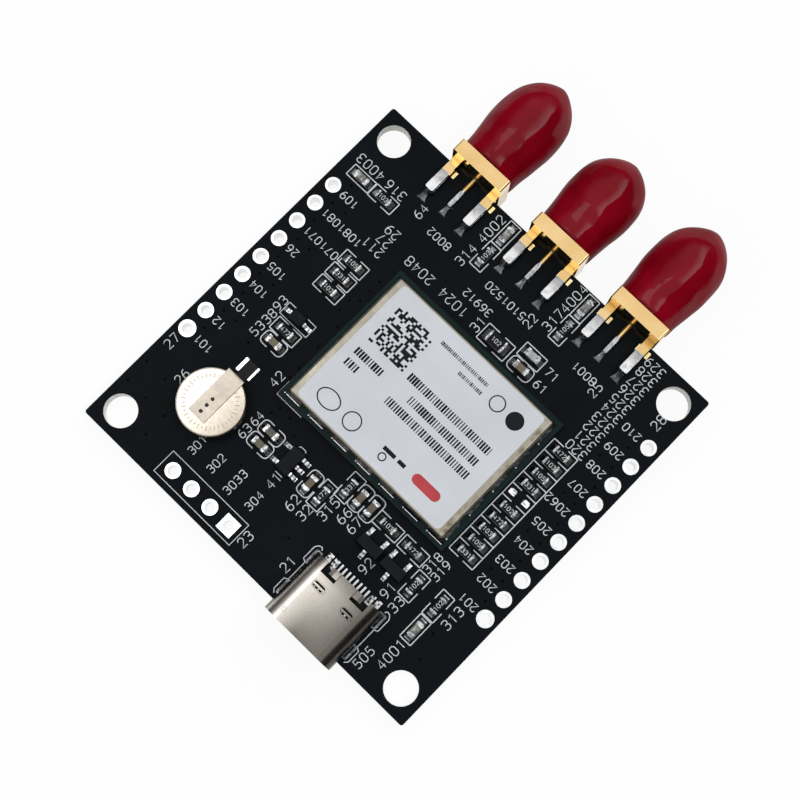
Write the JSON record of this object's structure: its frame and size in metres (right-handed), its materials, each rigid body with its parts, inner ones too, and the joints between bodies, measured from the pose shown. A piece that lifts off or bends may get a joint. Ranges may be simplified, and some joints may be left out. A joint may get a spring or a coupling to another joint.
{
  "type": "gps receiver module board",
  "caption": "Square circuit board with a shielded satellite receiver, edge antenna jacks under pull-off red dust caps, a USB port and a soldered backup cell.",
  "frame": {"origin": "centre of the four corner holes, on the underside of the board", "axes": "+Z out of the component side, +Y towards the antenna jacks, +X towards the long header row"},
  "size_m": [0.043, 0.0572, 0.0075],
  "materials": {
    "board": "satin black solder mask over glass laminate",
    "tin": "bright tinned metal",
    "substrate": "dark green solder mask",
    "shield": "drawn tin-plated sheet",
    "label": "satin film label",
    "moulding": "moulded epoxy",
    "gold": "gold-plated",
    "insulator": "white waxy plastic",
    "cap": "glossy soft vinyl",
    "nickel": "nickel-plated sheet",
    "ferrite": "grey ferrite",
    "alumina": "white alumina",
    "coat": "black glassy coat",
    "ceramic": "tan ceramic",
    "led_base": "white laminate",
    "lens": "clear epoxy"
  },
  "bodies": {
    "board": {"battery_bottom_tab": "nickel", "battery_cell": "nickel", "battery_top_tab": "nickel", "capacitor_bodies": "ceramic", "capacitor_ends": "tin", "clamp_body_1": "moulding", "clamp_body_2": "moulding", "clamp_leads_1": "tin", "clamp_leads_2": "tin", "diode_body": "moulding", "diode_leads": "tin", "header_pads_left": "tin", "header_pads_rear": "tin", "header_pads_right": "tin", "inductor_body": "ferrite", "inductor_ends": "tin", "jack_body_1": "gold", "jack_body_2": "gold", "jack_body_3": "gold", "jack_insulator_1": "insulator", "jack_insulator_2": "insulator", "jack_insulator_3": "insulator", "jack_pin_1": "gold", "jack_pin_2": "gold", "jack_pin_3": "gold", "led_base_1": "led_base", "led_base_2": "led_base", "led_base_3": "led_base", "led_base_4": "led_base", "led_ends": "gold", "led_lens_1": "lens", "led_lens_2": "lens", "led_lens_3": "lens", "led_lens_4": "lens", "module_label": "label", "module_shield": "shield", "module_solder": "tin", "module_substrate": "substrate", "pcb": "board", "receiver_chip": "moulding", "reference_oscillator": "shield", "regulator_body": "moulding", "regulator_leads": "tin", "resistor_bodies": "alumina", "resistor_coats": "coat", "resistor_ends": "tin", "rf_filters": "ceramic", "usb_contacts": "gold", "usb_shell": "nickel", "usb_tongue": "moulding"},
    "cap_1": {"dust_cap_1": "cap"},
    "cap_2": {"dust_cap_2": "cap"},
    "cap_3": {"dust_cap_3": "cap"}
  },
  "joints": [
    {"name": "cap_1_pull", "type": "slide", "parent": "board", "child": "cap_1", "axis": [0, 1, 0], "range_m": [0, 0.012]},
    {"name": "cap_2_pull", "type": "slide", "parent": "board", "child": "cap_2", "axis": [0, 1, 0], "range_m": [0, 0.012]},
    {"name": "cap_3_pull", "type": "slide", "parent": "board", "child": "cap_3", "axis": [0, 1, 0], "range_m": [0, 0.012]}
  ]
}
